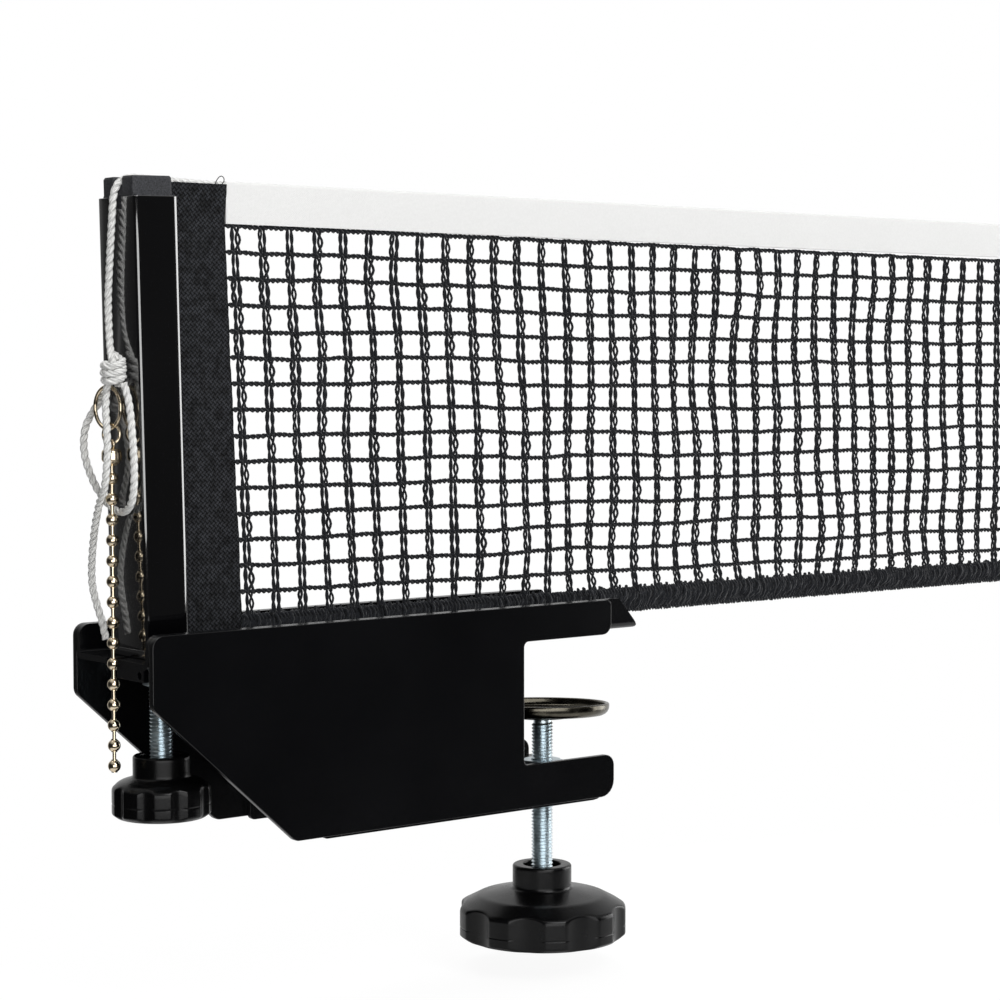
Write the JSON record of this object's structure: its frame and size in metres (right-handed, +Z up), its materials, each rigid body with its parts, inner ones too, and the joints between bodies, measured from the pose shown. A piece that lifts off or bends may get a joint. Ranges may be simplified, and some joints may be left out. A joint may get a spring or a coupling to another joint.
{
  "type": "table tennis net clamp",
  "caption": "Screw clamp for a table edge with a height-adjustable post, the net's end in its sleeve, a tensioning cord and a bead chain.",
  "frame": {"origin": "on the clamp screw's axis, in the plane of the table's top face, where the upper arm rests", "axes": "+Z up along the clamp screw, +X along the net over the table, +Y across the net"},
  "size_m": [0.4571, 0.0628, 0.2755],
  "materials": {
    "frame_paint": "semi-gloss black powder coat",
    "post_paint": "gloss black paint",
    "zinc_steel": "blue zinc plate",
    "pad_nickel": "dark nickel plate",
    "knob_plastic": "grained satin",
    "cap_plastic": "coarse grain",
    "black_cloth": "coarse plain weave",
    "net_string": "twisted string",
    "white_tape": "fine weave",
    "white_cord": "three-strand twist",
    "chain_nickel": "warm nickel plate"
  },
  "bodies": {
    "frame": {"side_plate_front": "frame_paint", "side_plate_rear": "frame_paint", "upper_channel": "frame_paint", "lower_channel": "frame_paint", "clamp_nut": "zinc_steel", "height_nut": "zinc_steel"},
    "post": {"post_foot": "post_paint", "post_tube": "post_paint", "post_cap": "cap_plastic", "net_rod": "zinc_steel", "net_sleeve": "black_cloth", "net_band": "black_cloth", "net_mesh": "net_string", "net_tape": "white_tape", "net_hem": "net_string", "net_binding": "black_cloth", "tension_cord": "white_cord", "cord_knot": "white_cord", "cord_tail": "white_cord", "cord_loop": "white_cord", "cord_ring": "chain_nickel", "chain_link": "chain_nickel", "chain_clasp": "chain_nickel", "bead_chain": "chain_nickel"},
    "height_screw": {"height_screw": "zinc_steel", "height_knob": "knob_plastic", "height_knob_cover": "knob_plastic"},
    "chain_tail": {"chain_tail": "chain_nickel"},
    "pad_carrier": {"pad_washer": "zinc_steel"},
    "pad": {"pad_disc": "pad_nickel"},
    "clamp_screw": {"clamp_screw": "zinc_steel", "clamp_knob": "knob_plastic", "clamp_knob_cover": "knob_plastic"}
  },
  "joints": [
    {"name": "height_slide", "type": "slide", "parent": "frame", "child": "post", "axis": [0, 0, 1], "range_m": [0, 0.008]},
    {"name": "height_turn", "type": "hinge", "parent": "post", "child": "height_screw", "pos_m": [-0.1636, 0, -0.03], "axis": [0, 0, 1], "range_deg": [0, 2304]},
    {"name": "chain_swing", "type": "hinge", "parent": "post", "child": "chain_tail", "pos_m": [-0.1818, -0.00083, 0.00157], "axis": [0, 1, 0], "range_deg": [-8, 75]},
    {"name": "clamp_slide", "type": "slide", "parent": "frame", "child": "pad_carrier", "axis": [0, 0, 1], "range_m": [-0.011, 0.015]},
    {"name": "clamp_turn", "type": "hinge", "parent": "pad_carrier", "child": "clamp_screw", "pos_m": [0, 0, -0.08], "axis": [0, 0, 1], "range_deg": [-3168, 4320]},
    {"name": "pad_tilt", "type": "hinge", "parent": "pad_carrier", "child": "pad", "pos_m": [0, 0, -0.03225], "axis": [-0.7826, 0.6225, 0], "range_deg": [-6.8, 0]}
  ],
  "couplings": [
    {"joint": "height_turn", "follows": "height_slide", "rad_per_m": 5026.5},
    {"joint": "clamp_turn", "follows": "clamp_slide", "rad_per_m": 5026.5}
  ]
}
